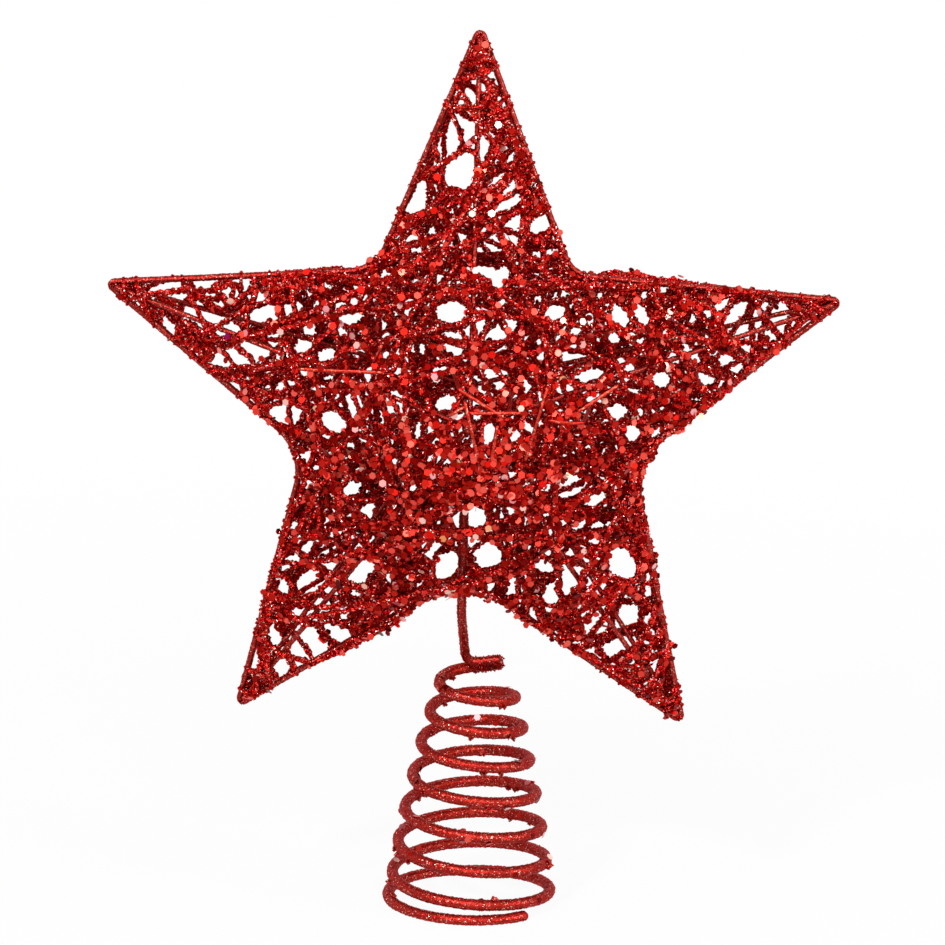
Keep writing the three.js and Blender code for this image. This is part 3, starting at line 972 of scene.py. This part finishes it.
def island_finish(name, tones, roughness):
    """A metallised film whose chips differ in tone from one to the next."""
    material = bpy.data.materials.new(name)
    material.use_nodes = True
    nodes = material.node_tree.nodes
    link = material.node_tree.links.new
    surface = nodes["Principled BSDF"]
    surface.inputs["Metallic"].default_value = 1.0
    surface.inputs["Roughness"].default_value = roughness
    skin = nodes.new("ShaderNodeNewGeometry")
    tone = tone_ramp(nodes, tones)
    link(skin.outputs["Random Per Island"], tone.inputs["Fac"])
    link(tone.outputs["Color"], surface.inputs["Base Color"])
    return material


# The film is red. Each sequin takes a tone at random, and the spread from dark red to salmon, pale pink and
# gold is painted light: painted reflections for sequins that catch the lamps and painted shade for those
# turned away.
sequin_film_and_reflections = island_finish("sequin_film_and_reflections", [
    (0.0, (0.11, 0.001, 0.001)), (0.25, (0.27, 0.004, 0.002)), (0.60, (0.52, 0.015, 0.009)),
    (0.80, (0.76, 0.056, 0.038)), (0.965, (0.86, 0.12, 0.085)), (0.978, (0.86, 0.36, 0.34)),
    (0.990, (0.95, 0.60, 0.50)), (1.0, (0.82, 0.24, 0.05))], roughness=0.3)
# Loose flakes take red tones at random. The tones past 0.6, pink to near white, are painted glints.
flake_film_and_glints = island_finish("flake_film_and_glints", [
    (0.0, (0.20, 0.004, 0.003)), (0.6, (0.70, 0.04, 0.03)), (0.85, (0.92, 0.30, 0.25)),
    (1.0, (1.0, 0.85, 0.80))], roughness=0.22)


def outward_at(where):
    """The way out of the star's puffed face at a place on the twine."""
    face = np.sign(where[:, 1:2])
    return unit(np.concatenate([where[:, :1] * 0.5, face * 0.045, where[:, 2:] * 0.5], axis=1))


draw = np.random.default_rng(300)
picked = draw.integers(0, len(all_twine), 10 * star_sequins)
where = all_twine[picked]
low_middle = np.exp(-((where[:, 0] - thickest_at[0]) / thick_reach[0]) ** 2
                    - ((where[:, 2] - thickest_at[1]) / thick_reach[1]) ** 2)
thick_there = 0.30 + 1.3 * low_middle + np.clip(5 * where[:, 0] - 5 * where[:, 2], -0.12, 0.5)
thick_there = thick_there * (0.3 + 0.7 * crowd[picked]) * (0.12 + 0.88 * all_free[picked] ** 2)
where = where[draw.random(len(where)) < thick_there]
where = where[clear_of_gaps(where, sequin_room)][:star_sequins]
outward = outward_at(where)
normals = unit(outward + sequin_lean * draw.standard_normal(where.shape))
lift = twine * sequin_lift + draw.uniform(0, sequin_stack, (len(where), 1))
centres = star_centre + where + outward * lift
centres = centres + draw.normal(0, sequin_stray, where.shape)
sizes = sequin_across / 2 * draw.uniform(0.88, 1.08, len(where))
on_star(sequin_piece("star_sequins", centres, normals, sizes, sequin_film_and_reflections, draw))

# Loose flakes of glitter stand out of the twine at all angles; their palest tones are painted glints.
picked = draw.integers(0, len(all_twine), 2 * loose_flakes)
picked = picked[all_free[picked] > draw.uniform(*flake_free, len(picked))][:loose_flakes]
where = all_twine[picked]
outward = unit(draw.standard_normal(where.shape))
out = (flake_lift + flake_heap * crowd[picked]) * (pinch + (1 - pinch) * all_free[picked])
where = where + outward * (twine * out)[:, None]
where = where[clear_of_gaps(where, flake_room)]
sizes = flake_across / 2 * draw.uniform(0.7, 1.2, len(where))
normals = unit(draw.standard_normal(where.shape))
flakes = chips(star_centre + where, normals, sizes, flake_thickness, flake_corners, draw)
on_star(piece("star_flakes", [flakes], flake_film_and_glints, False))

# On the spring some are where the photograph has them, by turns down and degrees up from straight out.
seen_sequins = [(0.37, 59), (2.97, 200), (4.48, 90), (5.0, 160), (4.87, 160), (1.92, 200), (3.7, -29),
                (4.54, -59)]
places, out = on_wire(spring_path, spring_wire / 2, 2 * spring_sequins, draw)
high = np.flatnonzero(places[:, 2] > spring_sequin_lowest)[:spring_sequins]
seen_places, seen_out = on_coil(seen_sequins, spring_wire / 2)
places, out = np.concatenate([places[high], seen_places]), np.concatenate([out[high], seen_out])
normals = unit(out + spring_sequin_lean * draw.standard_normal(out.shape))
sizes = sequin_across / 2 * draw.uniform(0.8, 1.1, len(places))
places = places + spring_sequin_lift * out
on_spring(sequin_piece("spring_sequins", places, normals, sizes, sequin_film_and_reflections, draw))

# A few sequins are painted pale pink, as painted highlights for sequins that catch the lamps, and one is
# magenta. They are where the photograph has them: on the spring by turns and degrees again, and on the star
# across and up from its middle in millimetres.
pale_glint_film = island_finish("pale_glint_film", [
    (0.0, (0.80, 0.22, 0.26)), (0.6, (0.90, 0.42, 0.42)), (1.0, (0.95, 0.72, 0.62))], roughness=0.32)
magenta_film = island_finish("magenta_film", [
    (0.0, (0.24, 0.004, 0.07)), (1.0, (0.34, 0.006, 0.10))], roughness=0.35)
pale_on_spring = [(5.21, 100), (5.16, 120), (6.22, 110), (4.7, -29), (5.73, 50), (3.59, -59), (3.82, 119),
                  (7.2, 110), (1.99, 140)]
pale_on_star = [
    (-10.2, 8.2), (5.7, 80.9), (6.1, 74.7), (-2.3, 75.3), (-0.9, 55.1), (6.1, 54.7), (-63.3, 19.4),
    (-53.5, 20.0), (-33.5, 19.4), (-33.1, 29.2), (-36.7, 22.8), (-40.9, 26.4), (59.0, 20.8), (62.8, 0.3),
    (30.7, 25.2), (80.1, 29.4), (12.5, -26.7), (53.2, -44.9), (21.7, -52.6), (-10.0, -20.3)]
magenta_on_star = [(-68.4, 18.4)]
pale_lean = 0.2
pale_spring_lift = 0.0003
bare_spot = 0.0012
face_lift = 0.0009

places, out = on_coil(pale_on_spring, spring_wire / 2)
normals = unit(out + pale_lean * draw.standard_normal(out.shape) - [0, 0.5, 0])
sizes = np.full(len(places), sequin_across / 2)
places = places + pale_spring_lift * out
pale = sequin_piece("spring_pale_sequins", places, normals, sizes, pale_glint_film, draw)
on_spring(pale)


def on_face(spots):
    """Places on top of the front twine that show at the spots, or on the strand nearest to a bare spot."""
    places = []
    for x, over in np.array(spots) / 1000:
        depth = 0
        for _ in range(3):
            depth = skin_depth(x, over + depth * sight_fall)
        z = over + depth * sight_fall
        _, strand_point, bare = skin.find((x, 0, z))
        if bare > bare_spot:
            x, _, z = front_twine[strand_point]
        places.append([x, -skin_depth(x, z) - face_lift, z])
    return np.array(places)


for name, spots, film in (("star_pale_sequins", pale_on_star, pale_glint_film),
                          ("magenta_sequin", magenta_on_star, magenta_film)):
    where = on_face(spots)
    normals = unit(outward_at(where) + pale_lean * draw.standard_normal(where.shape))
    sizes = np.full(len(where), sequin_across / 2)
    on_star(sequin_piece(name, star_centre + where, normals, sizes, film, draw))

# Floor and light
# A plain white floor that keeps the topper's shadow, three lamps and an even white surround.


def seen_rays(nodes, link):
    """1 for rays that show a thing, straight, mirrored or through something, and 0 for light that bounces."""
    rays = nodes.new("ShaderNodeLightPath")
    seen = nodes.new("ShaderNodeMath")
    seen.operation = "MAXIMUM"
    link(rays.outputs["Is Camera Ray"], seen.inputs[0])
    link(rays.outputs["Is Glossy Ray"], seen.inputs[1])
    through = nodes.new("ShaderNodeMath")
    through.operation = "MAXIMUM"
    link(seen.outputs[0], through.inputs[0])
    link(rays.outputs["Is Transmission Ray"], through.inputs[1])
    return through.outputs[0]


floor_mesh = bpy.data.meshes.new("floor")
reach = 6.0
floor_corners = [(-reach, -reach, 0), (reach, -reach, 0), (reach, reach, 0), (-reach, reach, 0)]
floor_mesh.from_pydata(floor_corners, [], [(0, 1, 2, 3)])
floor = bpy.data.objects.new("floor", floor_mesh)
bpy.context.scene.collection.objects.link(floor)
floor_paint = bpy.data.materials.new("floor_paint")
floor_paint.use_nodes = True
nodes = floor_paint.node_tree.nodes
link = floor_paint.node_tree.links.new
nodes.clear()
share = nodes.new("ShaderNodeMath")
share.operation = "MULTIPLY"
place = nodes.new("ShaderNodeTexCoord")
away = nodes.new("ShaderNodeVectorMath")
away.operation = "LENGTH"
link(place.outputs["Object"], away.inputs[0])
fade = nodes.new("ShaderNodeMapRange")
fade.inputs["From Min"].default_value = 0.1
fade.inputs["From Max"].default_value = 0.55
fade.inputs["To Min"].default_value = 0.93
fade.inputs["To Max"].default_value = 1.0
link(away.outputs["Value"], fade.inputs["Value"])
link(fade.outputs["Result"], share.inputs[1])
link(seen_rays(nodes, link), share.inputs[0])
matt = nodes.new("ShaderNodeBsdfDiffuse")
matt.inputs["Color"].default_value = (0.9, 0.9, 0.9, 1)
glow = nodes.new("ShaderNodeEmission")
glow.inputs["Strength"].default_value = 1.0
mixed = nodes.new("ShaderNodeMixShader")
link(share.outputs[0], mixed.inputs["Fac"])
link(matt.outputs[0], mixed.inputs[1])
link(glow.outputs[0], mixed.inputs[2])
out = nodes.new("ShaderNodeOutputMaterial")
link(mixed.outputs[0], out.inputs["Surface"])
floor_mesh.materials.append(floor_paint)

world = bpy.data.worlds.new("surround")
bpy.context.scene.world = world
world.use_nodes = True
nodes = world.node_tree.nodes
link = world.node_tree.links.new
nodes.clear()
soft = nodes.new("ShaderNodeBackground")
soft.inputs["Color"].default_value = (1, 1, 1, 1)
soft.inputs["Strength"].default_value = 0.4
white = nodes.new("ShaderNodeBackground")
white.inputs["Color"].default_value = (1, 1, 1, 1)
white.inputs["Strength"].default_value = 1.0
mixed = nodes.new("ShaderNodeMixShader")
link(seen_rays(nodes, link), mixed.inputs["Fac"])
link(soft.outputs[0], mixed.inputs[1])
link(white.outputs[0], mixed.inputs[2])
out = nodes.new("ShaderNodeOutputWorld")
link(mixed.outputs[0], out.inputs["Surface"])


def lamp(name, place, size, power):
    data = bpy.data.lights.new(name, "AREA")
    data.size = size
    data.energy = power
    made = bpy.data.objects.new(name, data)
    made.location = place
    made.rotation_euler = (camera_target - Vector(place)).to_track_quat("-Z", "Y").to_euler()
    bpy.context.scene.collection.objects.link(made)


lamp("key_lamp", (-0.6, -1.1, 1.2), 0.16, 12)
lamp("front_softbox", (0.3, -1.5, 0.9), 0.9, 14)
lamp("side_lamp", (1.2, -0.5, 0.5), 0.25, 6)
bpy.context.scene.view_settings.view_transform = "Standard"
